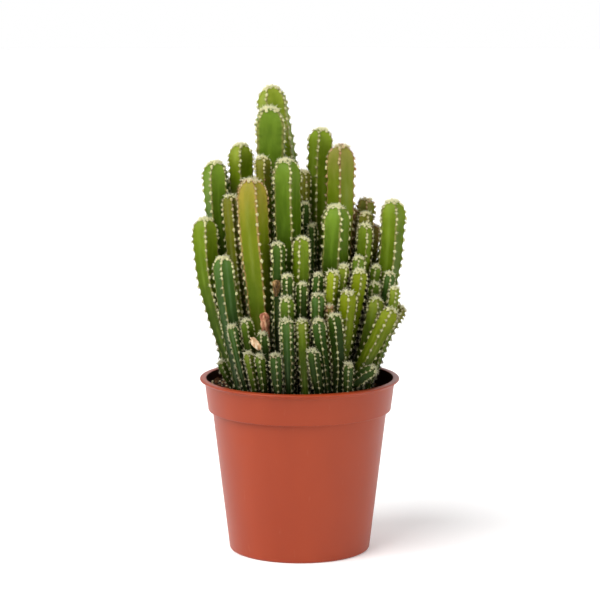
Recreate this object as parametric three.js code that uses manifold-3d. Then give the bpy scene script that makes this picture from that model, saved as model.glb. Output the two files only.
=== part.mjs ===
// Tall clump-forming cactus in a round plastic nursery pot.
// Millimetres, +Z up. The origin is the centre of the pot's underside, on the table;
// the plant's front faces -Y and its left side is at -X.
import * as THREE from 'three';
import { mergeVertices } from 'three/addons/utils/BufferGeometryUtils.js';
import Module from 'manifold-3d';

const wasm = await Module();
wasm.setup();

// ---- Driving dimensions: pot ----
const potHeight = 105;
const rimRadius = 60; // outside of the rolled lip
const baseRadius = 42.5; // outside of the wall at the table
const wall = 1.3;
const floorThickness = 1.8;
const baseCorner = 1.6; // rounding where the wall meets the underside
const lipRounding = 1.5; // the lip's outer edge is a half round
const lipWidth = 3.2;
const lipBottom = potHeight - 2 * lipRounding;
const bandTopRadius = 57.2; // outside of the upper band, just under the lip
const bandFootRadius = 54.8;
const bandFootHeight = 84.7;
const shoulderRadius = 52.3; // where the chamfer under the band meets the tapered wall
const shoulderHeight = 81;
const potSegments = 48;
const drainHoles = 8;
const drainHoleRadius = 3.5;
const drainHoleSegments = 16;
const drainCircleRadius = 27;

// ---- Driving dimensions: soil ----
const clearance = 0.3; // between pieces that touch
const soilLevel = 97.5; // at the middle of the pot
const soilFall = 0.055; // the surface drops towards +X
const lumpHeight = 0.7;
const lumpLength = 9;
const lumpShift = 1; // radians
const soilRings = [47, 39, 31, 23, 15, 7];

// ---- Driving dimensions: stems ----
const footWidth = 0.52; // stem radius at the soil, as a share of its fullest radius
const fullestAt = 0.78; // height share where a stem is fullest
const tipLength = 1.2; // length of the rounded tip, in stem radii
const tipAngles = [38, 66]; // rings on the rounded tip, degrees
const ringSpacing = 22;
const flankDepth = 0.94; // flank between two ribs, against a flat one
const usualBow = [0.22, 0.1];
const straightBow = [0.33, 0.33];
const footSamples = 8; // places round a foot where the soil's height is taken
const levelShare = 1e-6; // a ring lower than this share of the length is the foot's

// ---- Driving dimensions: how the stems grow round each other ----
const stemGap = 0.5; // air between neighbouring stems
const plantingRadius = 50; // every foot stands inside this circle
const rimMargin = 2; // height over the rim below which a stem stays inside the pot
const sidewaysYield = 0.4; // way made to the left or right, against way made to the front or back
const largestStep = 3;
const leastOffset = 1e-3; // taken where two centrelines lie exactly abreast
const growthRounds = 500;
const sampleSpacing = 3.5;

// ---- Stems ----
// tip: place of the growing point. foot: [x, y] in the soil. r: radius over the ribs.
// turn: degrees from the front to the first rib, towards +X.
// bow: [share of the sideways run done low down, share still left near the tip].
// The names that start with back_stem stand behind the rest.
const stems = [
  { name: 'column_back_tallest', tip: [-18, 27, 277.5], foot: [8, 24], r: 10, turn: -26, bow: [0.25, 0.4] },
  { name: 'column_centre_square', tip: [-18.5, 6, 266.5], foot: [-13, 8], r: 12, turn: 45, ribs: 4 },
  { name: 'column_centre_slim', tip: [-20, -11, 239], foot: [-16, -4], r: 5.4, turn: 10 },
  { name: 'column_centre', tip: [-9, -19, 238], foot: [-5, -12], r: 9.2, turn: 22 },
  { name: 'column_front', tip: [-28, -24, 227], foot: [-20, -16], r: 10.3, turn: 23 },
  { name: 'column_left_back', tip: [-34, 12, 244], foot: [-24, 12], r: 8.2, turn: -7 },
  { name: 'column_left', tip: [-49.5, 8, 234], foot: [-34, 10], r: 8.4, turn: -22 },
  { name: 'column_left_slim', tip: [-41.5, -4, 215], foot: [-30, 0], r: 6, turn: 10 },
  { name: 'column_outer_left', tip: [-56.3, -9, 202], foot: [-37, -8], r: 8.2, turn: 5, bow: [0.4, -0.1] },
  { name: 'column_low_left', tip: [-45, -26, 181], foot: [-34, -32], r: 7, turn: -12, bow: [0.33, 0.2] },
  { name: 'stem_dark_centre', tip: [-12.5, -33, 190], foot: [-12, -24], r: 5, turn: 26 },
  { name: 'stem_centre', tip: [1.5, -28, 193], foot: [0, -20], r: 6, turn: -22 },
  { name: 'column_right_centre', tip: [21.5, -17, 210.5], foot: [20, -13], r: 9.1, turn: 18 },
  { name: 'column_right_back', tip: [13.5, 15, 253], foot: [10, 8], r: 8.4, turn: -14 },
  { name: 'column_right_red', tip: [24.5, 0, 244.5], foot: [21, 0], r: 9.2, turn: -7 },
  { name: 'stem_right_brown', tip: [40, 14, 211], foot: [27, 12], r: 6.4, turn: 0 },
  { name: 'stem_right_hidden', tip: [38, 1, 204], foot: [26, 3], r: 5.6, turn: 20 },
  { name: 'stem_right_green', tip: [38.5, -11, 198.5], foot: [26, -7], r: 5.5, turn: 19 },
  { name: 'column_outer_right', tip: [55.3, 0, 211.5], foot: [38, -2], r: 8.4, turn: 20, bow: [0.4, -0.05] },

  { name: 'shoot_right_01', tip: [34.5, -19, 180.5], foot: [25, -14], r: 4.4, turn: 0 },
  { name: 'shoot_right_02', tip: [27, -25, 176.5], foot: [19, -20], r: 4, turn: 30 },
  { name: 'shoot_right_03', tip: [21, -31, 174], foot: [15, -26], r: 4.7, turn: 24 },
  { name: 'shoot_right_04', tip: [35, -29, 174], foot: [26, -21], r: 5.4, turn: 8 },
  { name: 'shoot_right_05', tip: [53.5, -15, 170], foot: [36, -13], r: 3.9, turn: 12 },
  { name: 'shoot_right_06', tip: [45, -20, 164.5], foot: [33, -18], r: 4.1, turn: -20 },
  { name: 'shoot_right_07', tip: [54.5, -24, 163], foot: [36, -21], r: 3.8, turn: 16 },
  { name: 'shoot_right_08', tip: [27, -40, 163], foot: [22, -32], r: 5.8, turn: 0 },
  { name: 'shoot_right_09', tip: [43.5, -31, 157.5], foot: [30, -26], r: 6, turn: 14 },
  { name: 'shoot_right_10', tip: [53.5, -33, 152], foot: [26, -29], r: 6, turn: -8, bow: [0.26, 0.4] },
  { name: 'shoot_right_11', tip: [59, -21, 151], foot: [28, -19], r: 4.8, turn: 20, bow: [0.26, 0.4] },
  { name: 'shoot_right_12', tip: [46, -44, 118], foot: [28, -38], r: 4.4, turn: 30, bow: [0.3, 0.5] },

  { name: 'shoot_front_01', tip: [10.5, -31, 172], foot: [8, -26], r: 3.8, turn: 4 },
  { name: 'shoot_front_02', tip: [1.5, -37, 167], foot: [1, -30], r: 4, turn: -14 },
  { name: 'shoot_front_03', tip: [11.5, -41, 161.5], foot: [9, -34], r: 4.6, turn: 12 },
  { name: 'shoot_front_04', tip: [-7.5, -39, 172], foot: [-6, -31], r: 3.8, turn: -6 },
  { name: 'shoot_front_05', tip: [-7.5, -47, 160], foot: [-7, -37], r: 5, turn: 18 },
  { name: 'shoot_front_06', tip: [-7.5, -54, 148.5], foot: [-6, -45], r: 4.9, turn: 28 },
  { name: 'shoot_front_07', tip: [1.5, -51, 147.5], foot: [4, -46], r: 4.8, turn: 36, bow: straightBow },
  { name: 'shoot_front_08', tip: [11.5, -50, 148], foot: [19, -42], r: 4.5, turn: 12, bow: straightBow },
  { name: 'shoot_front_09', tip: [19, -48, 150.5], foot: [27, -40], r: 5, turn: -10, bow: straightBow },
  { name: 'shoot_front_10', tip: [7, -56, 131], foot: [13, -47], r: 4.4, turn: 20, bow: straightBow },
  { name: 'shoot_front_11', tip: [-14, -57, 128.5], foot: [-12, -47], r: 4, turn: 8 },
  { name: 'shoot_front_12', tip: [-23, -51, 127], foot: [-20, -43], r: 3.5, turn: -10 },
  { name: 'shoot_front_13', tip: [-30, -48, 128], foot: [-25, -41], r: 3.5, turn: 16, bow: straightBow },
  { name: 'shoot_front_14', tip: [-21.5, -46, 139], foot: [-18, -37], r: 4.3, turn: -18 },
  { name: 'shoot_front_15', tip: [-32, -41, 146], foot: [-26, -34], r: 4.2, turn: 6 },
  { name: 'shoot_front_16', tip: [-38.5, -42, 143], foot: [-31, -38], r: 3.7, turn: 22, bow: straightBow },

  { name: 'back_stem_01', tip: [-40, 32, 208], foot: [-28, 26], r: 8, turn: 30 },
  { name: 'back_stem_02', tip: [-18, 46, 196], foot: [-14, 36], r: 7.6, turn: 12 },
  { name: 'back_stem_03', tip: [0, 38, 222], foot: [-2, 36], r: 7.8, turn: 40 },
  { name: 'back_stem_04', tip: [22, 40, 214], foot: [14, 34], r: 8, turn: 8 },
  { name: 'back_stem_05', tip: [38, 32, 192], foot: [26, 28], r: 7.4, turn: 50 },
  { name: 'back_stem_06', tip: [54, 18, 178], foot: [37, 18], r: 6.8, turn: 22 },
  { name: 'back_stem_07', tip: [-55, 20, 176], foot: [-38, 20], r: 7, turn: 64 },
  { name: 'back_stem_08', tip: [-34, 48, 158], foot: [-27, 38], r: 6, turn: 34 },
  { name: 'back_stem_09', tip: [6, 53, 164], foot: [4, 46], r: 6, turn: 18 },
  { name: 'back_stem_10', tip: [30, 49, 150], foot: [24, 40], r: 5.6, turn: 44 },

  { name: 'dried_shoot', tip: [-20.5, -38, 150], foot: [-18, -28], r: 2.6, turn: 0 },
];

// ---- Soil surface ----
function soilHeight(x, y) {
  const lumps = lumpHeight * Math.sin(x / lumpLength + lumpShift) * Math.cos(y / lumpLength);
  return soilLevel - soilFall * x + lumps;
}

// ---- Pot ----
function potProfile() {
  const inside = [lipBottom, bandFootHeight, shoulderHeight, floorThickness];
  return [
    [0, 0],
    ...arc([baseRadius - baseCorner, baseCorner], baseCorner, -90, 0, 2),
    [shoulderRadius, shoulderHeight],
    [bandFootRadius, bandFootHeight],
    [bandTopRadius, lipBottom],
    ...arc([rimRadius - lipRounding, potHeight - lipRounding], lipRounding, -90, 90, 4),
    [rimRadius - lipWidth, potHeight],
    ...inside.map((z) => [innerRadius(z), z]),
    [0, floorThickness],
  ];
}

// Radius of the inner face at a height, up to the underside of the lip.
function innerRadius(z) {
  const stations = [
    [baseRadius, 0],
    [shoulderRadius, shoulderHeight],
    [bandFootRadius, bandFootHeight],
    [bandTopRadius, lipBottom],
  ];
  const next = Math.max(1, stations.findIndex(([, height]) => height >= z));
  const [[r0, z0], [r1, z1]] = [stations[next - 1], stations[next]];
  return r0 + ((r1 - r0) * (z - z0)) / (z1 - z0) - wall;
}

function potGeometry() {
  let shell = solid(lathe(potProfile(), potSegments));
  for (let i = 0; i < drainHoles; i += 1) shell = shell.subtract(solid(drainHole(i)));
  return geometryOf(shell);
}

function drainHole(index) {
  const angle = ((index + 0.5) * 2 * Math.PI) / drainHoles;
  const depth = 3 * floorThickness;
  const hole = new THREE.CylinderGeometry(drainHoleRadius, drainHoleRadius, depth, drainHoleSegments);
  hole.rotateX(Math.PI / 2);
  hole.translate(drainCircleRadius * Math.cos(angle), drainCircleRadius * Math.sin(angle), 0);
  return hole;
}

// ---- Soil ----
function soilGeometry() {
  const bottom = floorThickness + clearance;
  const side = [bottom, shoulderHeight, bandFootHeight, soilLevel];
  const profile = [
    [0, bottom],
    ...side.map((z) => [innerRadius(z) - clearance, z]),
    ...soilRings.map((r) => [r, soilLevel]),
    [0, soilLevel],
  ];
  const soil = lathe(profile, potSegments);
  const at = soil.attributes.position;
  for (let i = 0; i < at.count; i += 1) {
    if (at.getZ(i) === soilLevel) setOnSoil(at, i);
  }
  return soil;
}

function setOnSoil(at, i) {
  const x = at.getX(i);
  const y = at.getY(i);
  const z = soilHeight(x, y);
  const reach = Math.hypot(x, y);
  const limit = innerRadius(z) - clearance;
  const pull = reach > limit ? limit / reach : 1;
  at.setXYZ(i, x * pull, y * pull, z);
}

// ---- Stems ----
// Control points of a stem's centreline, from the foot to the tip.
function plantStem(stem) {
  const [low, high] = stem.bow ?? usualBow;
  const tip = new THREE.Vector3(...stem.tip);
  const foot = new THREE.Vector3(...stem.foot, soilHeight(...stem.foot));
  const lower = foot.clone().lerp(tip, low).setZ(foot.z + (tip.z - foot.z) / 3);
  const upper = foot.clone().lerp(tip, 1 - high).setZ(tip.z - (tip.z - foot.z) / 3);
  return { ...stem, curve: new THREE.CubicBezierCurve3(foot, lower, upper, tip) };
}

// Radius over the ribs at a share of the stem's length.
function radiusAt(stem, length, share) {
  const tip = (tipLength * stem.r) / length;
  const rise = Math.min(share / fullestAt, 1);
  const swell = footWidth + (1 - footWidth) * Math.sin((rise * Math.PI) / 2);
  if (share <= 1 - tip) return stem.r * swell;
  const up = (share - 1 + tip) / tip;
  return stem.r * swell * Math.sqrt(Math.max(0, 1 - up * up));
}

function samplesOf(stem) {
  const length = stem.curve.getLength();
  const count = Math.ceil(length / sampleSpacing);
  return Array.from({ length: count + 1 }, (_, i) => {
    const t = i / count;
    return { t, at: stem.curve.getPoint(t), r: radiusAt(stem, length, t) };
  });
}

// Moves the centreline sideways at t, shared out over its control points.
function nudge(curve, t, x, y) {
  const u = 1 - t;
  const weights = [u * u * u, 3 * u * u * t, 3 * u * t * t, t * t * t];
  const total = weights.reduce((sum, w) => sum + w * w, 0);
  [curve.v0, curve.v1, curve.v2, curve.v3].forEach((point, k) => {
    point.x += (x * weights[k]) / total;
    point.y += (y * weights[k]) / total;
  });
}

// The place where two stems come closest to each other, or crowd each other most.
function tightest(one, other) {
  let worst = { lack: 0 };
  for (const a of one) {
    for (const b of other) {
      const need = a.r + b.r + stemGap;
      if (Math.abs(a.at.z - b.at.z) > need) continue;
      const lack = need - a.at.distanceTo(b.at);
      if (lack > worst.lack) worst = { lack, a, b };
    }
  }
  return worst;
}

// Crowded stems make way for each other, mostly towards the front and the back, the slimmer one more.
function makeWay(one, other, { lack, a, b }) {
  const x = (a.at.x - b.at.x) * sidewaysYield;
  const y = a.at.y - b.at.y || leastOffset;
  const step = Math.min(lack, largestStep) / Math.hypot(x, y);
  const firm = one.r ** 2 / (one.r ** 2 + other.r ** 2);
  nudge(one.curve, a.t, x * step * (1 - firm), y * step * (1 - firm));
  nudge(other.curve, b.t, -x * step * firm, -y * step * firm);
}

// A foot stays in the planting circle, and a low stretch stays inside the rim.
function keepInPot(stem, samples) {
  const inside = innerRadius(bandFootHeight);
  for (const { t, at, r } of samples) {
    if (at.z > potHeight + rimMargin) continue;
    const limit = t === 0 ? plantingRadius - r : inside - r;
    const reach = Math.hypot(at.x, at.y);
    const pull = Math.min(0, limit - reach) / reach;
    nudge(stem.curve, t, at.x * pull, at.y * pull);
  }
}

function growTogether(clump) {
  for (let round = 0; round < growthRounds; round += 1) {
    const samples = clump.map(samplesOf);
    clump.forEach((stem, i) => keepInPot(stem, samples[i]));
    for (let i = 0; i < clump.length; i += 1) {
      for (let j = i + 1; j < clump.length; j += 1) {
        const crowd = tightest(samples[i], samples[j]);
        if (crowd.lack > 0) makeWay(clump[i], clump[j], crowd);
      }
    }
  }
  clump.forEach(seatFoot);
  return clump;
}

// The flat end of a stem lies just above the highest soil under it.
function seatFoot(stem) {
  const { v0: foot } = stem.curve;
  const r = stem.r * footWidth;
  const around = Array.from({ length: footSamples }, (_, k) => (k * 2 * Math.PI) / footSamples);
  const heights = around.map((a) => soilHeight(foot.x + r * Math.cos(a), foot.y + r * Math.sin(a)));
  foot.z = Math.max(...heights) + clearance;
}

// Shares of the length where a stem has a ring of points: even on the body, by angle on the tip.
function ringShares(stem, length) {
  const tip = (tipLength * stem.r) / length;
  const count = Math.max(2, Math.round((length * (1 - tip)) / ringSpacing));
  const body = Array.from({ length: count + 1 }, (_, i) => ((1 - tip) * i) / count);
  const dome = tipAngles.map((degrees) => 1 - tip + tip * Math.sin(THREE.MathUtils.degToRad(degrees)));
  return [...body, ...dome];
}

function stemGeometry(stem) {
  const { curve, turn, ribs = 5 } = stem;
  const length = curve.getLength();
  const shares = ringShares(stem, length);
  const profile = [[0, 0], ...shares.map((s) => [radiusAt(stem, length, s), s]), [0, 1]];
  const body = lathe(profile, 2 * ribs);
  const at = body.attributes.position;
  const first = THREE.MathUtils.degToRad(turn - 90);
  const flank = flankDepth * Math.cos(Math.PI / ribs);
  for (let i = 0; i < at.count; i += 1) {
    const share = at.getZ(i);
    const radius = Math.hypot(at.getX(i), at.getY(i));
    const angle = Math.atan2(at.getX(i), -at.getY(i));
    const side = Math.round((angle * ribs) / Math.PI);
    const reach = side % 2 === 0 ? radius : radius * flank;
    const place = stemPoint(curve, share, reach, angle + first);
    at.setXYZ(i, place.x, place.y, place.z);
  }
  return body;
}

// A point beside the centreline. The foot's ring is level, and the others stand square to the line.
function stemPoint(curve, share, reach, angle) {
  const along = share < levelShare ? new THREE.Vector3(0, 0, 1) : curve.getTangent(share);
  const back = new THREE.Vector3().crossVectors(along, new THREE.Vector3(1, 0, 0)).normalize();
  const right = new THREE.Vector3().crossVectors(back, along);
  return curve
    .getPoint(share)
    .addScaledVector(right, reach * Math.cos(angle))
    .addScaledVector(back, reach * Math.sin(angle));
}

// ---- Geometry helpers ----
// Points [radius, z] on an arc about a centre, from one angle to another in degrees.
function arc([r, z], radius, from, to, steps) {
  return Array.from({ length: steps + 1 }, (_, i) => {
    const angle = THREE.MathUtils.degToRad(from + ((to - from) * i) / steps);
    return [r + radius * Math.cos(angle), z + radius * Math.sin(angle)];
  });
}

// A turned solid about Z. The profile's points are [radius, z], upwards on the outside.
function lathe(points, segments) {
  const turned = new THREE.LatheGeometry(points.map(([r, z]) => new THREE.Vector2(r, z)), segments);
  turned.rotateX(Math.PI / 2);
  return welded(turned);
}

// Shared vertices merged, and the empty triangles on the axis left out.
function welded(geometry) {
  geometry.deleteAttribute('normal');
  geometry.deleteAttribute('uv');
  const merged = mergeVertices(geometry, 1e-4);
  const index = merged.index.array;
  const kept = [];
  for (let i = 0; i < index.length; i += 3) {
    const [a, b, c] = index.slice(i, i + 3);
    if (a !== b && b !== c && c !== a) kept.push(a, b, c);
  }
  merged.setIndex(kept);
  return merged;
}

function solid(geometry) {
  const merged = welded(geometry);
  const vertProperties = new Float32Array(merged.attributes.position.array);
  const triVerts = new Uint32Array(merged.index.array);
  return new wasm.Manifold(new wasm.Mesh({ numProp: 3, vertProperties, triVerts }));
}

function geometryOf(manifold) {
  const mesh = manifold.getMesh();
  const geometry = new THREE.BufferGeometry();
  geometry.setAttribute('position', new THREE.BufferAttribute(mesh.vertProperties, 3));
  geometry.setIndex(new THREE.BufferAttribute(mesh.triVerts, 1));
  return geometry;
}

// ---- Materials ----
function finish(color, roughness) {
  return new THREE.MeshStandardMaterial({ color, roughness, metalness: 0 });
}

function stemFinish(name) {
  if (name === 'dried_shoot') return finish('#a8704f', 0.9);
  return finish(name.startsWith('shoot') ? '#5a8a2a' : '#6b922c', 0.55);
}

function piece(name, geometry, material) {
  const mesh = new THREE.Mesh(geometry, material);
  mesh.name = name;
  return mesh;
}

// ---- Assembly ----
const plant = new THREE.Group();
plant.add(piece('pot', potGeometry(), finish('#b5523a', 0.45)));
plant.add(piece('soil', soilGeometry(), finish('#2c2019', 0.95)));
for (const stem of growTogether(stems.map(plantStem))) {
  plant.add(piece(stem.name, stemGeometry(stem), stemFinish(stem.name)));
}

export default plant;
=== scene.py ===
"""A clump of ribbed columnar cactus in a round plastic pot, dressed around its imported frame.

Metres, +Z up. The plant's front faces -Y. Every stem follows the centreline and the ribs of its
own CAD node; wool, spines, crumbs, dry bits and the small late shoots are added here.
"""
import logging
import math
from dataclasses import dataclass, field
from enum import Enum

import bpy
import numpy as np
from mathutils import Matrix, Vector


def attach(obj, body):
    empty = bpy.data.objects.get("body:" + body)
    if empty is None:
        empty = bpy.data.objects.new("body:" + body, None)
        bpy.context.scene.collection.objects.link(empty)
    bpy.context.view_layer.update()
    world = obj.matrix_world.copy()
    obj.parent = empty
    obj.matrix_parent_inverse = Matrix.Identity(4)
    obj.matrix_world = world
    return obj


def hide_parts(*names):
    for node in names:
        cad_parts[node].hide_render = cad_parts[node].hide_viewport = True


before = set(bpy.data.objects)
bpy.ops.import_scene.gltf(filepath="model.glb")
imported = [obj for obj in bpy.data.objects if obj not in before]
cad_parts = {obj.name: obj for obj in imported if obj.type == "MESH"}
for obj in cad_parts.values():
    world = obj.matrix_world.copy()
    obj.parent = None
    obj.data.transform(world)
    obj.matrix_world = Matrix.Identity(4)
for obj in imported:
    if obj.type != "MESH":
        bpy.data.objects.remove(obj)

LOG = logging.getLogger("potted_cactus")
MM = 0.001
FULL_TURN = 2 * math.pi
DULL = 0.12  # specular level of skin, peat and crumbs
Points = np.ndarray
Faces = list[tuple[int, ...]]
Profile = list[tuple[float, float]]
Triple = tuple[float, float, float]
Material = bpy.types.Material
Object = bpy.types.Object


def from_hex(code: str) -> Triple:
    """Linear colour of an sRGB hex code."""
    parts = [int(code[i : i + 2], 16) / 255 for i in (1, 3, 5)]
    return tuple(c / 12.92 if c <= 0.04045 else ((c + 0.055) / 1.055) ** 2.4 for c in parts)


# ---------------------------------------------------------------- shader writing


class Wire:
    """A node's output socket that adds Math nodes when it is used in an expression."""

    def __init__(self, shader: "Shader", socket: bpy.types.NodeSocket) -> None:
        """Keeps the socket and the shader it belongs to."""
        self.shader = shader
        self.socket = socket

    def _math(self, operation: str, *values: "Wire | float") -> "Wire":
        """A Math node of that operation on these values."""
        return self.shader.node("ShaderNodeMath", {"operation": operation}, values)

    def __add__(self, other: "Wire | float") -> "Wire":
        """self + other."""
        return self._math("ADD", self, other)

    __radd__ = __add__

    def __sub__(self, other: "Wire | float") -> "Wire":
        """self - other."""
        return self._math("SUBTRACT", self, other)

    def __rsub__(self, other: "Wire | float") -> "Wire":
        """other - self."""
        return self._math("SUBTRACT", other, self)

    def __mul__(self, other: "Wire | float") -> "Wire":
        """self * other."""
        return self._math("MULTIPLY", self, other)

    __rmul__ = __mul__

    def __pow__(self, other: "Wire | float") -> "Wire":
        """self ** other."""
        return self._math("POWER", self, other)

    def between(self, low: float, high: float) -> "Wire":
        """0 at low and 1 at high, eased, and held outside them."""
        values = {"Value": self, "From Min": low, "From Max": high}
        return self.shader.node("ShaderNodeMapRange", {"interpolation_type": "SMOOTHSTEP"}, values)


class Shader:
    """A material's node tree with one Principled shader."""

    def __init__(self, name: str) -> None:
        """Makes the material and keeps its tree and its shader node.

        Args:
            name: The material's name.
        """
        self.material = bpy.data.materials.new(name)
        self.material.use_nodes = True
        self.tree = self.material.node_tree
        self.body = self.tree.nodes["Principled BSDF"]

    def node(
        self, kind: str, settings: dict | None = None, values: dict | tuple = (), output: int | str = 0
    ) -> Wire:
        """Adds a node.

        Args:
            kind: The node's type name.
            settings: Attributes set before the sockets; "stops" fills a colour ramp.
            values: What the inputs take, by their names or numbers or in their order.
            output: The output that is returned.

        Returns:
            The chosen output as a wire.
        """
        made = self.tree.nodes.new(kind)
        for key, value in (settings or {}).items():
            if key == "stops":
                self._fill_ramp(made.color_ramp, value)
            else:
                setattr(made, key, value)
        pairs = values.items() if isinstance(values, dict) else enumerate(values)
        for key, value in pairs:
            self.feed(made.inputs[key], value)
        return Wire(self, made.outputs[output])

    @staticmethod
    def _fill_ramp(ramp: bpy.types.ColorRamp, stops: list[tuple[float, str]]) -> None:
        """Sets a ramp's stops.

        Args:
            ramp: A new ramp.
            stops: The place and the hex colour of each, in order.
        """
        while len(ramp.elements) < len(stops):
            ramp.elements.new(0.5)
        for element, (place, code) in zip(ramp.elements, stops):
            element.position = place
            element.color = (*from_hex(code), 1)

    def feed(self, socket: bpy.types.NodeSocket, value: "Wire | float | Triple | str") -> None:
        """Links a wire to a socket, or sets its number, vector or colour.

        Args:
            socket: The input.
            value: What it takes; a colour is three linear numbers or a hex code.
        """
        if isinstance(value, str):
            value = from_hex(value)
        if isinstance(value, Wire):
            self.tree.links.new(value.socket, socket)
        elif isinstance(value, tuple) and socket.type == "RGBA":
            socket.default_value = (*value, 1)
        else:
            socket.default_value = value

    def surface(self, **sockets: "Wire | float | Triple | str") -> Material:
        """Feeds the shader's own sockets.

        Args:
            sockets: What each takes, by its name with _ for a space.

        Returns:
            The material.
        """
        for name, value in sockets.items():
            self.feed(self.body.inputs[name.replace("_", " ")], value)
        return self.material

    def mix(self, mask: "Wire | float", low: "Wire | str", high: "Wire | str") -> Wire:
        """Colour low where the mask is 0 and high where it is 1."""
        sockets = {0: mask, 6: low, 7: high}  # by number, because several of the node's share a name
        return self.node("ShaderNodeMix", {"data_type": "RGBA"}, sockets, 2)

    def ramp(self, value: Wire, places: Triple, shades: tuple[str, str, str]) -> Wire:
        """The value as a colour that runs through three shades, each at its place."""
        return self.node("ShaderNodeValToRGB", {"stops": list(zip(places, shades))}, {"Fac": value})

    def place(self) -> Wire:
        """The point of the surface in the object's own coordinates, in metres."""
        return self.node("ShaderNodeTexCoord", output="Object")

    def noise(self, size: float, detail: float = 3, stretch: Triple = (1, 1, 1)) -> Wire:
        """Noise from 0 to 1.

        Args:
            size: About how wide its lumps are, in metres.
            detail: How many finer layers it has.
            stretch: Scale on each axis; a small one draws the lumps out.

        Returns:
            The noise.
        """
        values = {"Vector": self.place(), "Scale": stretch}
        scaled = self.node("ShaderNodeMapping", {"vector_type": "POINT"}, values)
        values ={"Vector": scaled, "Scale": 1 / size, "Detail": detail, "Roughness": 0.55}
        return self.node("ShaderNodeTexNoise", values=values)

    def mark(self, name: str) -> Wire:
        """A number that the mesh carries at each point under that name."""
        return self.node("ShaderNodeAttribute", {"attribute_name": name}, output="Fac")

    def shade(self) -> Wire:
        """Painted shade: the colour darkens towards the soil, where the stems stand close."""
        rise = self.node("ShaderNodeSeparateXYZ", values={"Vector": self.place()}, output="Z")
        return rise.between(0.09, 0.2) ** 0.7 * 0.62 + 0.38

    def toned(self, colour: Wire, value: Wire, saturation: float = 1) -> Wire:
        """A colour with its brightness and its saturation multiplied."""
        values = {"Color": colour, "Saturation": saturation, "Value": value}
        return self.node("ShaderNodeHueSaturation", values=values)

    def bump(self, height: Wire, depth: float, strength: float = 1) -> Wire:
        """A bumped normal from a height of 0 to 1 that is depth metres deep."""
        values = {"Height": height, "Distance": depth, "Strength": strength}
        return self.node("ShaderNodeBump", values=values, output="Normal")


# ---------------------------------------------------------------- finishes


@dataclass(frozen=True)
class SkinTone:
    """Colours of a stem's skin, as sRGB hex codes, and how brown its areoles are."""

    face: str
    # low: painted shade, the darker colour towards the stem's foot
    low: str
    top: str
    bloom: str
    rib: str = "#8f8a4e"
    warmth: float = 0.0


class Tone(Enum):
    """The tones of skin that the clump shows."""

    BRIGHT = SkinTone("#647a0c", "#485e0a", "#909c3a", "#80943e")
    FRESH = SkinTone("#586e0c", "#3a500a", "#7c902c", "#72882e")
    MID = SkinTone("#47600a", "#233605", "#6e882c", "#648024")
    DEEP = SkinTone("#2b4308", "#1d2e06", "#44601a", "#465c28")
    BLUE = SkinTone("#375616", "#243a0e", "#527030", "#5c7648")
    OLIVE = SkinTone("#64690f", "#465608", "#7a7a2c", "#7e824a", warmth=0.12)
    OCHRE = SkinTone("#6e7816", "#587012", "#a0903a", "#7e883a", "#a58650", 0.4)
    RED = SkinTone("#647a12", "#485e08", "#928846", "#7a883e", "#98744a", 0.42)
    BROWN = SkinTone("#6c7016", "#4a5a0c", "#94823e", "#787c3c", "#92664a", 0.45)
    LIME = SkinTone("#6c7c0c", "#4c600a", "#909c26", "#858f30")


@dataclass(frozen=True)
class StemSkin:
    """Smooth waxy skin: mottled faces with a bloom down the middle, a drier line on each rib, and painted
    shade towards the foot.
    """

    tone: Tone
    patch: float = 9 * MM
    streak: float = 3 * MM
    grain: float = 0.8 * MM
    relief: float = 0.3 * MM
    # brown spine bases round each areole, partly painted shade under the tuft
    brown_and_shade: str = "#33290f"

    def build(self) -> Material:
        """Builds it on the marks ridge, height and areole.

        Returns:
            The material.
        """
        look = self.tone.value
        shader = Shader(f"skin_{self.tone.name.lower()}")
        ridge, height, areole = (shader.mark(name) for name in ("ridge", "height", "areole"))
        patches = shader.noise(self.patch, 3, (1, 1, 0.3))
        streaks = shader.noise(self.streak, 2, (1, 1, 0.12))
        grain = shader.noise(self.grain, 2)
        # Painted shade: the face colour darkens to the low one towards the stem's foot.
        grown = shader.mix((height + (patches - 0.5) * 0.5).between(0.2, 0.88), look.low, look.face)
        young = shader.mix((height + (patches - 0.5) * 0.4).between(0.72, 1.1), grown, look.top)
        bloom = (1 - ridge).between(0.5, 1.0) * (patches * 0.6 + streaks * 0.4).between(0.4, 0.62) * 0.6
        faced = shader.mix(bloom, young, look.bloom)
        lined = shader.mix(ridge.between(0.8, 0.97) * (0.45 + streaks * 0.75), faced, look.rib)
        # Round each areole: its brown spine bases, and painted shade under the tuft.
        browned_and_shaded = shader.mix(areole.between(0.2, 0.9) * 0.55, lined, self.brown_and_shade)
        mottle = 0.62 + patches * 0.42 + streaks * 0.14 + grain * 0.16
        # Painted shade towards the soil, by shade(), darkens the mottled skin.
        colour = shader.toned(browned_and_shaded, mottle * shader.shade(), 1.03)
        rough = 0.42 + grain * 0.18
        relief = shader.bump(grain * 0.35 + patches, self.relief, 0.6)
        return shader.surface(Base_Color=colour, Roughness=rough, Normal=relief, Specular_IOR_Level=DULL)


@dataclass(frozen=True)
class Wool:
    """Felted cream wool of the areoles, browned where the mark warm says so."""

    pale: str = "#ebe9b2"
    shaded: str = "#cac486"
    warm: str = "#c29066"
    patch: float = 6 * MM
    fibre: float = 0.3 * MM
    relief: float = 0.2 * MM

    def build(self) -> Material:
        """Builds it.

        Returns:
            The material.
        """
        shader = Shader("areole_wool")
        patches = shader.noise(self.patch, 2)
        fibre = shader.noise(self.fibre, 3)
        felt = shader.mix(fibre.between(0.3, 0.7), self.shaded, self.pale)
        worn = (shader.mark("warm") + (patches - 0.5) * 0.9).between(0.2, 0.95)
        # Painted shade towards the soil, by shade().
        colour = shader.toned(shader.mix(worn, felt, self.warm), shader.shade())
        relief = shader.bump(fibre, self.relief)
        return shader.surface(Base_Color=colour, Roughness=0.9, Normal=relief, Sheen_Weight=0.08)


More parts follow.
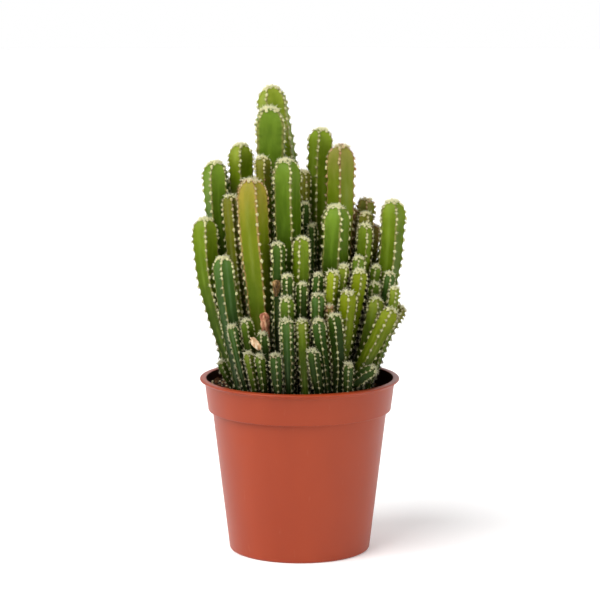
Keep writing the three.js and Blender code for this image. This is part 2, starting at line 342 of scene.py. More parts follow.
@dataclass(frozen=True)
class SpineHorn:
    """Short straw-coloured spines with brown ends."""

    straw: str = "#ece8bc"
    aged: str = "#a87850"
    end: str = "#48301a"
    patch: float = 4 * MM

    def build(self) -> Material:
        """Builds it on the marks along and warm.

        Returns:
            The material.
        """
        shader = Shader("spine_horn")
        age = (shader.noise(self.patch, 2) + shader.mark("warm") * 0.5).between(0.4, 0.9)
        horn = shader.mix(age, self.straw, self.aged)
        ended = shader.mix(shader.mark("along").between(0.3, 0.75), horn, self.end)
        # Painted shade towards the soil, by shade().
        return shader.surface(Base_Color=shader.toned(ended, shader.shade()), Roughness=0.5 + age * 0.1)


@dataclass(frozen=True)
class PotPlastic:
    """Satin terracotta plastic with faint moulding waves and scuffs."""

    name: str
    light: str
    deep: str
    scuff: str
    gloss: float = 0.33
    cloud: float = 40 * MM
    scratch: float = 3 * MM
    grain: float = 0.5 * MM
    relief: float = 0.25 * MM

    def build(self) -> Material:
        """Builds it.

        Returns:
            The material.
        """
        shader = Shader(self.name)
        clouds = shader.noise(self.cloud, 2, (1, 1, 0.4))
        scuffs = shader.noise(self.scratch, 5, (1, 1, 0.2))
        grain = shader.noise(self.grain, 2)
        base = shader.mix(clouds.between(0.3, 0.7), self.deep, self.light)
        worn = shader.mix(scuffs.between(0.64, 0.8) * 0.2, base, self.scuff)
        rough = 0.33 + clouds * 0.08 + scuffs * 0.08
        relief = shader.bump(clouds + grain * 0.07, self.relief, 0.3)
        return shader.surface(Base_Color=worn, Roughness=rough, Normal=relief, Specular_IOR_Level=self.gloss)


@dataclass(frozen=True)
class Peat:
    """Dark crumbly peat."""

    shades: tuple[str, str, str] = ("#120c08", "#2a1c13", "#4a3322")
    crumb: float = 1.6 * MM
    relief: float = 1.2 * MM

    def build(self) -> Material:
        """Builds it.

        Returns:
            The material.
        """
        shader = Shader("peat")
        crumbs = shader.noise(self.crumb, 5)
        colour = shader.ramp(crumbs, (0.3, 0.52, 0.75), self.shades)
        relief = shader.bump(crumbs, self.relief)
        return shader.surface(Base_Color=colour, Roughness=0.95, Normal=relief, Specular_IOR_Level=DULL)


@dataclass(frozen=True)
class CrumbFinish:
    """Loose crumbs, from a dark colour to a pale one."""

    name: str
    dark: str
    pale: str
    patch: float = 3.5 * MM
    pit: float = 0.5 * MM
    relief: float = 0.3 * MM

    def build(self) -> Material:
        """Builds it.

        Returns:
            The material.
        """
        shader = Shader(self.name)
        tint = shader.noise(self.patch, 2)
        pits = shader.noise(self.pit, 3)
        colour = shader.mix((tint + pits * 0.3).between(0.4, 0.8), self.dark, self.pale)
        relief = shader.bump(pits, self.relief)
        return shader.surface(Base_Color=colour, Roughness=0.92, Normal=relief, Specular_IOR_Level=DULL)


@dataclass(frozen=True)
class DriedSkin:
    """Shrivelled dead skin, in three shades from its folds to its ridges."""

    name: str
    shades: tuple[str, str, str]
    fold: float = 2.2 * MM
    relief: float = 0.6 * MM

    def build(self) -> Material:
        """Builds it.

        Returns:
            The material.
        """
        shader = Shader(self.name)
        folds = shader.noise(self.fold, 4, (1, 1, 0.3))
        colour = shader.ramp(folds, (0.34, 0.52, 0.68), self.shades)
        return shader.surface(Base_Color=colour, Roughness=0.85, Normal=shader.bump(folds, self.relief))


class Finishes:
    """Every material, each made once."""

    def __init__(self) -> None:
        """Builds the materials."""
        self.skin = {tone: StemSkin(tone).build() for tone in Tone}
        self.wool = Wool().build()
        self.spine = SpineHorn().build()
        self.pot = PotPlastic("pot_plastic", "#9d3b18", "#953615", "#b2644a").build()
        # Painted shade: a darker, duller copy of the pot's plastic for its inner wall.
        self.pot_inside_shade = PotPlastic("pot_inside_shade", "#54240f", "#381809", "#6a4028", 0.05).build()
        self.peat = Peat().build()
        self.crumb = CrumbFinish("soil_crumb", "#22130a", "#5c3c24").build()
        self.grit = CrumbFinish("pale_grit", "#6e5c40", "#cabd98").build()
        self.dried = DriedSkin("dried_skin", ("#74402a", "#ba7858", "#deb088")).build()
        self.bud = DriedSkin("dried_bud", ("#4a3418", "#94703e", "#ccac7c")).build()
        self.flake = DriedSkin("dry_flake", ("#a87850", "#d4b088", "#ecd9b8")).build()


# ---------------------------------------------------------------- mesh building


def put_in_scene(name: str, data: bpy.types.ID) -> Object:
    """Makes an object of a mesh, a light or a camera and links it to the scene.

    Args:
        name: The object's name.
        data: What it shows.

    Returns:
        The object.
    """
    made = bpy.data.objects.new(name, data)
    bpy.context.scene.collection.objects.link(made)
    return made


def spaced_angles(count: int) -> Points:
    """Angles that divide a full turn evenly, from 0."""
    return FULL_TURN * np.arange(count) / count


def level_ring(radius: float | Points, height: float, count: int) -> Points:
    """A level ring of points about the Z axis, of one radius or of one for each point."""
    turn = spaced_angles(count)
    return np.column_stack([radius * np.cos(turn), radius * np.sin(turn), np.full(count, height)])


def rings_to_faces(rows: int, around: int, close_low: bool = True) -> Faces:
    """Quads between rings of points, and fans to the points that close them.

    Args:
        rows: How many rings there are. Their points come first, ring by ring.
        around: How many points each has.
        close_low: Whether the next point closes the first ring. The last point closes the last.

    Returns:
        The faces.
    """
    faces = []
    for row in range(rows - 1):
        for k in range(around):
            a, b = row * around + k, row * around + (k + 1) % around
            faces.append((a, b, b + around, a + around))
    pole, top = rows * around, (rows - 1) * around
    if close_low:
        faces += [(pole, (k + 1) % around, k) for k in range(around)]
        pole += 1
    return faces + [(pole, top + k, top + (k + 1) % around) for k in range(around)]


@dataclass
class Build:
    """Points, faces, and the marks and slots that go with them, gathered into one mesh."""

    points: list[Points] = field(default_factory=list)
    faces: Faces = field(default_factory=list)
    slots: list[int] = field(default_factory=list)
    marks: dict[str, list[Points]] = field(default_factory=dict)
    count: int = 0

    def add(self, points: Points, faces: Faces, slot: int = 0, **marks: Points) -> None:
        """Adds a part.

        Args:
            points: Its points, one per row.
            faces: Its faces, as indices into those points.
            slot: The material slot of its faces.
            marks: A number per point under each name.
        """
        self.faces += [tuple(i + self.count for i in face) for face in faces]
        self.slots += [slot] * len(faces)
        self.points.append(points)
        self.count += len(points)
        for name, values in marks.items():
            self.marks.setdefault(name, []).append(np.asarray(values, np.float32))

    def loft(
        self,
        rings: list[Points],
        low: Points | Triple,
        high: Points | Triple,
        unit: float = 1.0,
        **marks: Points,
    ) -> None:
        """Adds a closed skin over rings of points.

        Args:
            rings: The rings, from low to high, with as many points each.
            low: The point that closes the first ring.
            high: The point that closes the last ring.
            unit: What the points are given in, in metres.
            marks: A number per point under each name, those of low and high last.
        """
        points = np.concatenate([*rings, [low, high]]) * unit
        self.add(points, rings_to_faces(len(rings), len(rings[0])), **marks)

    def piece(self, name: str, materials: list[Material], smooth: bool = True) -> Object:
        """Makes the object, with its marks, riding on the one body.

        Args:
            name: Its name.
            materials: Its materials, in the order of the slots.
            smooth: Whether light runs smoothly over its edges.

        Returns:
            The object.
        """
        mesh = bpy.data.meshes.new(name)
        mesh.from_pydata(np.concatenate(self.points).tolist(), [], self.faces)
        for material in materials:
            mesh.materials.append(material)
        mesh.polygons.foreach_set("material_index", self.slots)
        mesh.polygons.foreach_set("use_smooth", [smooth] * len(mesh.polygons))
        for key, values in self.marks.items():
            mesh.attributes.new(key, "FLOAT", "POINT").data.foreach_set("value", np.concatenate(values))
        mesh.validate()
        mesh.update()
        made = put_in_scene(name, mesh)
        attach(made, "root")
        return made


# ---------------------------------------------------------------- stems


@dataclass
class StemLine:
    """A stem's centreline, thickness and first rib, read at any distance from its foot."""

    stations: Points  # x, y, z and radius over the ribs, one row per ring
    tip: Points
    first: float  # angle of the first rib about the centreline
    ribs: int
    blunt: float = 2.5  # 2 is a round tip, more is flatter

    def __post_init__(self) -> None:
        """Measures along the centreline."""
        steps = np.linalg.norm(np.diff(self.stations[:, :3], axis=0), axis=1)
        self.distances = np.concatenate([[0], np.cumsum(steps)])
        self.body = float(self.distances[-1])
        self.dome = float(np.linalg.norm(self.tip - self.stations[-1, :3]))
        self.length = self.body + self.dome

    def _row(self, distance: float) -> Points:
        """The body on a smooth curve through its rings.

        Args:
            distance: Metres from the foot.

        Returns:
            x, y, z and radius there.
        """
        last = len(self.stations) - 1
        k = int(np.clip(np.searchsorted(self.distances, distance) - 1, 0, last - 1))
        before, start, end, after = (self.stations[min(max(i, 0), last)] for i in range(k - 1, k + 3))
        leaving, arriving = (end - before) / 2, (after - start) / 2
        t = (distance - self.distances[k]) / (self.distances[k + 1] - self.distances[k])
        return (
            (2 * t**3 - 3 * t**2 + 1) * start
            + (t**3 - 2 * t**2 + t) * leaving
            + (-2 * t**3 + 3 * t**2) * end
            + (t**3 - t**2) * arriving
        )

    def at(self, distance: float) -> tuple[Points, float]:
        """The stem at a distance from its foot; below the foot it runs on downwards.

        Args:
            distance: Metres along the centreline.

        Returns:
            The centre and the radius over the ribs.
        """
        if distance < 0:
            row = self.stations[0]
            return row[:3] + np.array([0, 0, distance]), float(row[3])
        if distance <= self.body:
            row = self._row(distance)
            return row[:3], float(row[3])
        up = min((distance - self.body) / self.dome, 1)
        shoulder, radius = self.stations[-1, :3], float(self.stations[-1, 3])
        return shoulder + (self.tip - shoulder) * up, radius * math.sqrt(max(0, 1 - up**self.blunt))

    def on_dome(self, share: float) -> float:
        """The distance from the foot where the dome's radius is that share of the stem's."""
        return self.body + self.dome * (1 - share * share) ** (1 / self.blunt)

    def rise(self, distance: float) -> float:
        """How far the surface tips up towards the growing point.

        Args:
            distance: Metres from the foot.

        Returns:
            The angle in radians.
        """
        up = (distance - self.body) / self.dome
        if up <= 0:
            return 0.0
        if up >= 0.999:
            return math.pi / 2
        fall = self.blunt * up ** (self.blunt - 1) / (2 * math.sqrt(1 - up**self.blunt))
        return math.atan(float(self.stations[-1, 3]) / self.dome * fall)

    def axes(self, distance: float) -> tuple[Points, Points, Points]:
        """The stem's own directions.

        Args:
            distance: Metres from the foot.

        Returns:
            Right, back and along.
        """
        step = 0.5 * MM
        middle = min(distance, self.length - 2 * step)
        span = self.at(middle + step)[0] - self.at(middle - step)[0]
        along = span / np.linalg.norm(span)
        back = np.cross(along, [1.0, 0, 0])
        back /= np.linalg.norm(back)
        return np.cross(back, along), back, along


def read_stem(name: str) -> StemLine:
    """Reads a stem's rings from its CAD node, by walking over the mesh from the foot's middle.

    Args:
        name: The node's name.

    Returns:
        The stem's line, with as many ribs as the node has.
    """
    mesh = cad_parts[name].data
    raw = np.array([v.co for v in mesh.vertices])
    points, same = np.unique(np.round(raw, 6), axis=0, return_inverse=True)
    same = same.ravel()
    near: dict[int, set[int]] = {i: set() for i in range(len(points))}
    for edge in mesh.edges:
        a, b = int(same[edge.vertices[0]]), int(same[edge.vertices[1]])
        near[a].add(b)
        near[b].add(a)
    level = np.where(points[:, 2] < points[:, 2].min() + 1e-5)[0]
    foot = int(level[np.argmin(np.linalg.norm(points[level] - points[level].mean(0), axis=1))])
    seen, rings, reached = {foot}, [], [foot]
    while reached:
        reached = sorted({n for i in reached for n in near[i]} - seen)
        seen |= set(reached)
        if reached:
            rings.append(points[reached])
    tip = rings.pop().mean(0)
    body = rings[:-2]  # the last two rings round the tip off
    rows = []
    for ring in body:
        centre = ring.mean(0)
        rows.append([*centre, np.linalg.norm(ring - centre, axis=1).max()])
    stem = StemLine(np.array(rows), tip, 0.0, len(rings[0]) // 2)
    centre = body[-1].mean(0)
    rib = body[-1][np.argmax(np.linalg.norm(body[-1] - centre, axis=1))] - centre
    right, back, _ = stem.axes(stem.body - 1e-4)
    stem.first = math.atan2(float(rib @ back), float(rib @ right))
    return stem


def straight_stem(foot: Triple, tip: Triple, radius: float, turn: float) -> StemLine:
    """A small stem that has no CAD node, on a slightly bowed line.

    Args:
        foot: Its lowest point, in millimetres.
        tip: Its highest point, in millimetres.
        radius: Its radius over the ribs, in millimetres.
        turn: The angle of its first rib.

    Returns:
        Its line.
    """
    ribs, bowed, foot_share, full_from = 5, 0.12, 0.55, 0.75
    low, high = np.array(foot) * MM, np.array(tip) * MM
    rows = []
    body = np.linspace(0, 1 - 1.2 * radius * MM / np.linalg.norm(high - low), 6)
    for share in body:
        bow = np.array([(high - low)[0], (high - low)[1], 0]) * bowed * math.sin(math.pi * share)
        grown = math.sin(min(share / full_from, 1) * math.pi / 2)
        thick = radius * MM * (foot_share + (1 - foot_share) * grown)
        rows.append([*(low + (high - low) * share + bow), thick])
    return StemLine(np.array(rows), high, turn, ribs)


def rib_section(ribs: int, depth: float) -> tuple[Points, Points, Points]:
    """The stem's section for a rib radius of 1: hollow faces that meet in narrow crests.

    Args:
        ribs: Number of ribs.
        depth: Radius between two ribs, as a share of a flat face's.

    Returns:
        Angles, radii, and how near each point is to a rib, from 0 to 1.
    """
    shoulder = 0.92  # radius of a rib without its crest
    crest_width, softness = 0.2, 0.06  # of half a face
    samples, window = 1440, 60
    per_half, gathered = 6, 1.6  # points from a rib to the middle of a face, closer at the rib
    half = math.pi / ribs
    hollow = depth * math.cos(half)
    x, y = hollow * math.cos(half), hollow * math.sin(half)
    fine = np.linspace(0, FULL_TURN, samples, endpoint=False)
    off = np.abs((fine + half) % (2 * half) - half)
    radii = shoulder * y / (y * np.cos(off) + (shoulder - x) * np.sin(off))
    radii += (1 - shoulder) * np.exp(-((off / (crest_width * half)) ** 2))
    spread = softness * half * samples / FULL_TURN
    kernel = np.exp(-0.5 * (np.arange(-window, window + 1) / spread) ** 2)
    padded = np.concatenate([radii[-window:], radii, radii[:window]])
    soft = np.convolve(padded, kernel / kernel.sum(), "valid")
    soft /= soft.max()
    steps = np.linspace(0, 1, per_half + 1) ** gathered
    offs = np.concatenate([steps[:-1], 2 - steps[::-1][:-1]]) * half
    angles = np.concatenate([offs + 2 * half * k for k in range(ribs)])
    away = np.abs((angles + half) % (2 * half) - half) / half
    return angles, np.interp(angles, fine, soft, period=FULL_TURN), 1 - away


def square_to(way: Points, upward: Points) -> tuple[Points, Points]:
    """Two directions square to a way.

    Args:
        way: A direction of length 1.
        upward: Roughly where the second of the two leads.

    Returns:
        The one to the side and the one upward.
    """
    side = np.cross(way, upward)
    if np.linalg.norm(side) < 0.05:
        side = np.cross(way, [0.31, 0.93, 0.17])
    side /= np.linalg.norm(side)
    return side, np.cross(side, way)


@dataclass(frozen=True)
class Growth:
    """What differs between a slim shoot and a thick stem."""

    blunt: float  # how flat its tip is
    notch: float  # least depth of the ribs' dips between areoles, in metres
    swell: float  # share of its thickness that comes and goes
    hollow: float  # radius between two ribs, as a share of a flat face's
    last_row: float  # share of the radius at which the ribs' areoles end
    last_step: float  # share of the usual step between the last two of them
    crown: int  # number of areoles on the tip
    crown_reach: float  # share of the radius that they cover
    crown_spines: float  # length of their spines against the others'


class Habit(Enum):
    """The two ways in which the stems have grown."""

    SLIM = Growth(3.2, 1.0 * MM, 0.045, 0.84, 0.8, 0.6, 7, 0.66, 1.4)
    THICK = Growth(2.5, 0.6 * MM, 0.025, 0.9, 0.6, 0.45, 14, 0.52, 1.2)


@dataclass(frozen=True)
class Spines:
    """How the spines of an areole stand and look."""

    thick: float
    lean: tuple[float, float]  # least and most angle from the way the areole faces
    paler: float  # taken off the areole's warmth
    end: float  # how brown their ends are


RIB_SPINES = Spines(0.18 * MM, (0.7, 1.2), 0.0, 1.0)
CROWN_SPINES = Spines(0.27 * MM, (0.4, 1.35), 0.6, 0.35)


@dataclass(frozen=True)
class Areole:
    """One areole's seat on the skin."""

    seat: Points
    facing: Points
    side: Points
    up: Points
    warm: float  # how brown it is
    crown: bool  # whether it is on the tip


@dataclass
class Stem:
    """One living stem: its ribbed skin, and the wool and spines of its areoles."""

    name: str
    line: StemLine
    tone: Tone
    seed: int
    node: str | None = None
    slim_below: float = 6.6 * MM
    soil: float = 98 * MM
    scuffed: float = 34 * MM  # height above the soil in which the tufts are worn small
    needles: int = 8
    around_tuft: int = 8
    tuft_rings: tuple[tuple[float, float], ...] = ((1.0, -0.35), (1.0, 0.25), (0.62, 0.72))  # width, height

    def __post_init__(self) -> None:
        """Sets the stem's measures, most of which grow with its thickness."""
        self.rng = np.random.default_rng(self.seed)
        self.radius = float(self.line.stations[:, 3].max())
        self.growth = (Habit.SLIM if self.radius < self.slim_below else Habit.THICK).value
        self.pitch = (2.9 * MM + 0.2 * self.radius) * self.rng.uniform(0.95, 1.1)
        self.notch = self.growth.notch + 0.03 * self.radius
        self.tuft = 0.5 * MM + 0.02 * self.radius
        self.spine = 1.5 * MM + 0.09 * self.radius
        self.warm = self.tone.value.warmth
        self.phases = self.rng.uniform(0, FULL_TURN, 3)
        self.line.blunt = 2.0 if self.name == "column_back_tallest" else self.growth.blunt
        self.tufts = Build()

    def areole_places(self) -> Points:
        """Places the areoles of a rib, closer together towards the tip.

        Returns:
            Their distances from the foot, in order.
        """
        lowest, widening = 0.5 * MM, 1.25
        places, at = [], self.line.on_dome(self.growth.last_row)
        step = self.pitch * self.growth.last_step
        while at > lowest:
            places.append(at)
            at -= step
            step = min(step * widening, self.pitch)
        return np.array(places[::-1])

    def twist(self, at: float) -> float:
        """How far the ribs have wound round the stem there, in radians."""
        return 0.07 * math.sin(at / (17 * MM) + self.phases[2])

    def girth(self, at: float) -> float:
        """How thick the stem is there: it swells and narrows as it grew.

        Args:
            at: Metres from the foot.

        Returns:
            A share of its full thickness.
        """
        slow, quick = at / (4.1 * MM) + self.phases[0], at / (1.9 * MM) + self.phases[1]
        waves = 0.6 * math.sin(slow) + 0.4 * math.sin(quick)
        return 1 - self.growth.swell + self.growth.swell * waves

    def _rows(self, places: Points) -> Points:
        """Spaces the skin's rings: from under the soil, four to an areole, and over the dome.

        Args:
            places: The distances of the areoles.

        Returns:
            The distances of the rings from the foot.
        """
        buried = np.array([-2.2 * MM, -0.8 * MM, 0.0])
        body = np.concatenate([np.linspace(a, b, 5)[:-1] for a, b in zip(places[:-1], places[1:])])
        shares = (0.97, 0.9, 0.8, 0.66, 0.5, 0.34, 0.18, 0.06)
        dome = np.array([self.line.on_dome(share) for share in shares])
        rows = np.unique(np.round(np.concatenate([buried, body, dome]), 7))
        rows = rows[rows < self.line.length - 0.01 * MM]
        return rows[np.concatenate([[True], np.diff(rows) > 0.02 * MM])]

    def skin(self) -> Build:
        """Builds the skin, whose ribs dip between the areoles.

        Returns:
            Its mesh in the making.
        """
        brown_and_shade_reach, deepest = 0.9 * MM, 0.26
        places = self.areole_places()
        rows = self._rows(places)
        angles, radii, near = rib_section(self.line.ribs, self.growth.hollow)
        crest = np.clip((near - 0.5) / 0.5, 0, 1) ** 1.4
        # Mask of the areole's brown spine bases and painted shade under the tuft, on the rib's crest.
        brown_and_shade = np.clip((near - 0.7) / 0.3, 0, 1)
        rings, ridge, height, areole = [], [], [], []
        for row in rows:
            centre, radius = self.line.at(row)
            radius *= self.girth(row)
            right, back, _ = self.line.axes(row)
            gap = np.abs(places - row).min() if row < places[-1] else 0.0
            dip = self.notch * (1 - math.cos(min(gap / (self.pitch / 2), 1) * math.pi)) / 2
            reach = radius * radii - min(dip, deepest * radius) * crest
            turn = angles + self.line.first + self.twist(row)
            sideways = np.outer(reach * np.cos(turn), right)
            rings.append(centre + sideways + np.outer(reach * np.sin(turn), back))
            ridge.append(near)
            height.append(np.full(len(angles), row / self.line.length))
            areole.append(brown_and_shade * math.exp(-((gap / brown_and_shade_reach) ** 2)))
        build = Build()
        build.loft(
            rings,
            self.line.at(rows[0])[0],
            self.line.tip,
            ridge=np.concatenate([*ridge, [0.0, 0.0]]),
            height=np.concatenate([*height, [0.0, 1.0]]),
            areole=np.concatenate([*areole, [0.0, 0.0]]),
        )
        return build

    def areoles(self) -> None:
        """Adds wool and spines at each areole along the ribs, and the crown of young ones on the tip."""
        uneven_turn, uneven_step, spiral = 0.03, 0.09, 2.4
        for place in self.areole_places():
            for rib in range(self.line.ribs):
                turn = self.line.first + FULL_TURN * rib / self.line.ribs + self.rng.normal(0, uneven_turn)
                at = place + self.rng.normal(0, uneven_step) * self.pitch
                self._areole(at, turn + self.twist(place), place / self.line.length)
        for k in range(self.growth.crown):
            share = self.growth.crown_reach * math.sqrt((k + 0.3) / self.growth.crown)
            self._areole(self.line.on_dome(share), spiral * k + self.line.first, 1.0)

    def _areole(self, place: float, turn: float, young: float) -> None:
        """Adds one areole.

        Args:
            place: Its distance from the foot.
            turn: Its angle about the centreline.
            young: From 0 at the foot to 1 for the crown on the tip.
        """
        browned_from, browning, sunk = 0.93, 0.25, 0.3
        crown = young == 1.0
        centre, radius = self.line.at(place)
        right, back, along = self.line.axes(place)
        out = right * math.cos(turn) + back * math.sin(turn)
        rise = self.line.rise(place)
        facing = out * math.cos(rise) + along * math.sin(rise)
        clean = min(max((centre[2] - self.soil) / self.scuffed, 0), 1)
        tuft = self.tuft * self.rng.uniform(0.5, 1.3) * (1.25 if crown else 0.55 + 0.42 * clean)
        seat = centre + out * radius * self.girth(place) - facing * sunk * tuft
        browned = browning if young > browned_from and self.warm > 0 else 0
        warm = self.warm + self.rng.normal(0, 0.12) + browned
        areole = Areole(seat, facing, *square_to(facing, along), warm, crown)
        self._wool(areole, tuft)
        self._spines(areole)

    def _wool(self, areole: Areole, size: float) -> None:
        """Adds a lumpy cushion of wool, taller than it is wide.

        Args:
            areole: Where it sits.
            size: About half its width.
        """
        turn = spaced_angles(self.around_tuft)
        tall = self.rng.uniform(1.15, 1.55)
        rings = []
        for spread, lift in self.tuft_rings:
            lumps = self.rng.uniform(0.7, 1.25, self.around_tuft)
            rings.append(
                areole.seat
                + np.outer(np.cos(turn) * lumps * spread * size, areole.side)
                + np.outer(np.sin(turn) * lumps * spread * size * tall, areole.up)
                + np.outer(lumps * lift * size, areole.facing)
            )
        low, high = areole.seat - areole.facing * 0.5 * size, areole.seat + areole.facing * 0.9 * size
        count = len(rings) * self.around_tuft + 2
        self.tufts.loft(rings, low, high, along=np.zeros(count), warm=np.full(count, areole.warm))

    def _spines(self, areole: Areole) -> None:
        """Adds an areole's spines, which spread from it, two of them up and down the rib.

        Args:
            areole: Where they stand.
        """
        sort = CROWN_SPINES if areole.crown else RIB_SPINES
        along_rib = 1.3
        for k in range(self.needles):
            turn = FULL_TURN * (k + self.rng.uniform(-0.25, 0.25)) / self.needles + math.pi / 2
            lean = self.rng.uniform(*sort.lean)
            if k % (self.needles // 2) == 0 and not areole.crown:
                lean = along_rib
            sideways = areole.side * math.cos(turn) + areole.up * math.sin(turn)
            way = areole.facing * math.cos(lean) + sideways * math.sin(lean)
            length = self.spine * self.rng.uniform(0.6, 1.3)
            if areole.crown:
                length *= self.growth.crown_spines
            self._needle(areole, way, length, sort)

    def _needle(self, areole: Areole, way: Points, length: float, sort: Spines) -> None:
        """Adds one three-sided spine.

        Args:
            areole: Where it stands.
            way: Where it points.
            length: Its length.
            sort: How it looks.
        """
        side, up = square_to(way, np.array([0.31, 0.17, 0.93]))
        turn = spaced_angles(3)
        foot = areole.seat + sort.thick * (np.outer(np.cos(turn), side) + np.outer(np.sin(turn), up))
        points = np.concatenate([foot, [areole.seat + way * length]])
        marks = {"along": np.array([0, 0, 0, sort.end]), "warm": np.full(4, areole.warm - sort.paler)}
        self.tufts.add(points, [(2, 1, 0), (0, 1, 3), (1, 2, 3), (2, 0, 3)], 1, **marks)

    def make(self, finishes: Finishes) -> list[Object]:
        """Makes the skin piece and the areole piece.

        Args:
            finishes: The materials.

        Returns:
            The two pieces.
        """
        body = self.skin().piece(f"{self.name}_skin", [finishes.skin[self.tone]])
        if self.node:
            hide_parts(self.node)
        self.areoles()
        tufts = self.tufts.piece(f"{self.name}_areoles", [finishes.wool, finishes.spine])
        return [body, tufts]


NAMED_TONES: dict[Tone, tuple[str, ...]] = {
    Tone.BRIGHT: ("column_back_tallest", "column_left_back", "shoot_right_09", "shoot_front_07"),
    Tone.FRESH: (
        "column_outer_left",
        "column_outer_right",
        "column_right_back",
        "stem_centre",
        "stem_right_green",
    ),
    Tone.MID: ("column_centre_square", "column_centre", "column_left", "column_right_centre"),
    Tone.DEEP: ("stem_dark_centre", "shoot_right_12", "shoot_front_02", "shoot_front_10"),
    Tone.BLUE: ("column_low_left", "shoot_front_03", "shoot_front_08", "shoot_front_16"),
    Tone.OLIVE: ("column_centre_slim", "column_left_slim", "stem_right_hidden", "shoot_right_11"),
    Tone.OCHRE: ("column_front",),
    Tone.RED: ("column_right_red", "stem_right_brown"),
    Tone.LIME: ("shoot_right_03", "shoot_right_04", "shoot_right_08", "shoot_right_10"),
}


@dataclass
class Clump:
    """All the stems: those with a CAD node, and small late shoots between them."""

    finishes: Finishes
    usual: tuple[Tone, ...] = (Tone.MID, Tone.BRIGHT, Tone.DEEP, Tone.MID, Tone.BLUE)
    seed: int = 100
    late_seed: int = 300
    late_turn: float = 0.7
    # foot, tip, radius in millimetres and tone of each late shoot that the CAD has no room for
    late: tuple[tuple[Triple, Triple, float, Tone], ...] = (
        ((4, 3, 97), (2.6, 8, 228.4), 4.2, Tone.OLIVE),
        ((3, -3, 97), (3.2, 0, 210), 3.5, Tone.DEEP),
        ((6, -8.5, 97), (7.4, -5.5, 197.5), 3.5, Tone.DEEP),
        ((32.1, -4.3, 96), (45.4, -11.3, 173.8), 3.6, Tone.MID),
        ((16.4, -35.8, 97), (17.4, -41.9, 154.8), 2.9, Tone.BROWN),
        ((27.5, -40.6, 96.5), (28.5, -52.9, 122.4), 3.4, Tone.DEEP),
        ((37, -34.5, 96.5), (35.5, -37, 109.5), 2.3, Tone.DEEP),
        ((-37, -20, 99.5), (-46.8, -22, 118), 3.0, Tone.MID),
        ((-8, 46, 98), (-10, 52, 138), 4.2, Tone.MID),
        ((14, 44, 97), (17, 52, 132), 3.8, Tone.DEEP),
        ((-20, 42, 99), (-24, 52, 128), 4.0, Tone.BLUE),
        ((-34, 32, 99.5), (-43, 40, 140), 4.2, Tone.MID),
        ((34, 34, 96), (42, 42, 136), 4.0, Tone.BRIGHT),
        ((42, 8.6, 95.5), (50.9, 11.4, 134), 3.8, Tone.MID),
        ((-41.9, 9.3, 100), (-48.2, 10.8, 134), 4.0, Tone.BRIGHT),
        ((31.1, 9, 96), (45.7, 8.8, 195), 3.8, Tone.BROWN),
        ((25, 8, 97), (32.8, 8.6, 205), 2.6, Tone.BROWN),
        ((-33, 18.5, 99.5), (-43.5, 20.5, 221), 2.8, Tone.MID),
    )

    def make(self) -> list[Object]:
        """Makes every stem, in the nodes' own order, and then the late shoots.

        Returns:
            The pieces.
        """
        made: list[Object] = []
        tones = {name: tone for tone, names in NAMED_TONES.items() for name in names}
        living = [n for n in sorted(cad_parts) if n not in ("pot", "soil", "dried_shoot")]
        for k, node in enumerate(living):
            tone = tones.get(node, self.usual[k % len(self.usual)])
            made += Stem(node, read_stem(node), tone, self.seed + k, node).make(self.finishes)
        for k, (foot, tip, radius, tone) in enumerate(self.late):
            line = straight_stem(foot, tip, radius, self.late_turn * k)
            made += Stem(f"late_shoot_{k + 1:02d}", line, tone, self.late_seed + k).make(self.finishes)
        return made


# ---------------------------------------------------------------- pot and soil


def arc(radius: float, height: float, bend: float, start: float, end: float, steps: int) -> Profile:
    """Points of a rounded edge in the pot's profile.

    Args:
        radius: How far the edge's centre is from the pot's axis.
        height: How high its centre is.
        bend: The edge's own radius.
        start: The first angle, in degrees.
        end: The last angle.
        steps: How many points there are.

    Returns:
        The radius and the height of each point.
    """
    angles = np.radians(np.linspace(start, end, steps))
    return [(radius + bend * math.cos(a), height + bend * math.sin(a)) for a in angles]


